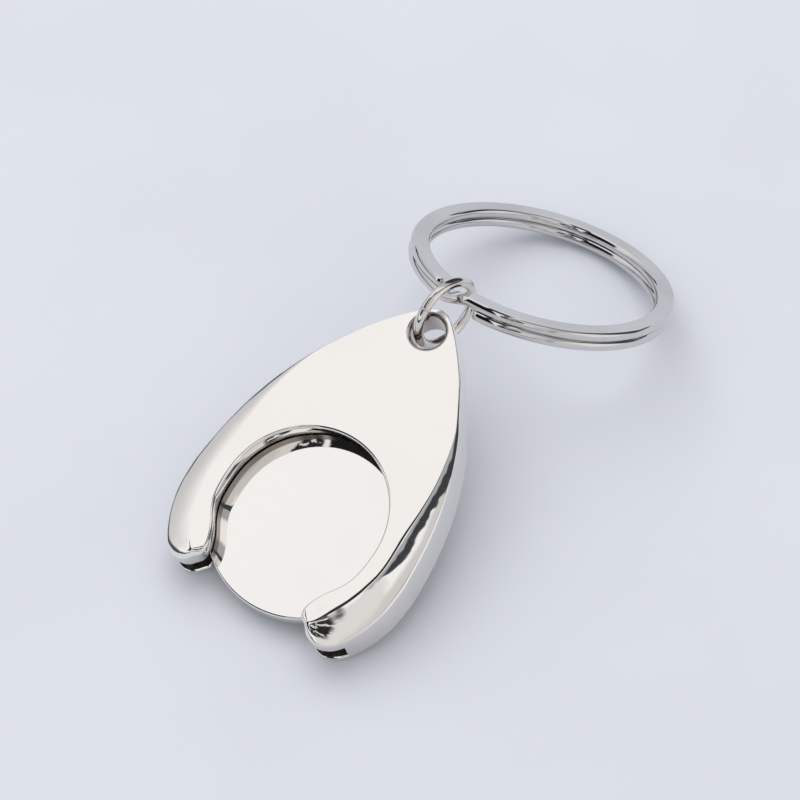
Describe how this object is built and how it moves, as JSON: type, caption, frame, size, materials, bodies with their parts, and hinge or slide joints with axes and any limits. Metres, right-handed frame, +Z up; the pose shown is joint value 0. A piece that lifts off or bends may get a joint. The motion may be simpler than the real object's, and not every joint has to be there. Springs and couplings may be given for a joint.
{
  "type": "trolley token keyring",
  "caption": "Wishbone-shaped metal holder with a slot for a loose round trolley token, hung on a jump ring and a flat split ring.",
  "frame": {"origin": "middle of the whole keyring's footprint, on the surface that it lies on", "axes": "+Z up, +Y from the slot's mouth towards the split ring, +X across the holder. The holder leans 14.9 degrees about X, its arm tips and the split ring's far rim on the surface."},
  "size_m": [0.0326, 0.064, 0.0186],
  "materials": {
    "plated_casting": "mirror polished nickel plate on a zinc casting",
    "polished_token": "mirror polished nickel plate on steel",
    "plated_wire": "bright nickel plate on round steel wire",
    "plated_strip": "bright nickel plate on flat steel strip",
    "dull_magnet": "plain plated disc magnet"
  },
  "bodies": {
    "holder": {"coin_holder": "plated_casting", "holder_magnet": "dull_magnet"},
    "token": {"trolley_token": "polished_token"},
    "link": {"jump_ring": "plated_wire"},
    "key_ring": {"split_ring": "plated_strip"}
  },
  "joints": [
    {"name": "token_slide", "type": "slide", "parent": "holder", "child": "token", "axis": [0, -0.9665, -0.2568], "range_m": [0, 0.026]},
    {"name": "link_swing", "type": "hinge", "parent": "holder", "child": "link", "pos_m": [-0.00197, 0.00218, 0.01267], "axis": [0, -0.2568, 0.9665], "range_deg": [-30, 30]},
    {"name": "key_ring_fold", "type": "hinge", "parent": "link", "child": "key_ring", "pos_m": [-0.00215, 0.00652, 0.01544], "axis": [-0.9715, 0.178, -0.1564], "range_deg": [-180, 60]}
  ]
}
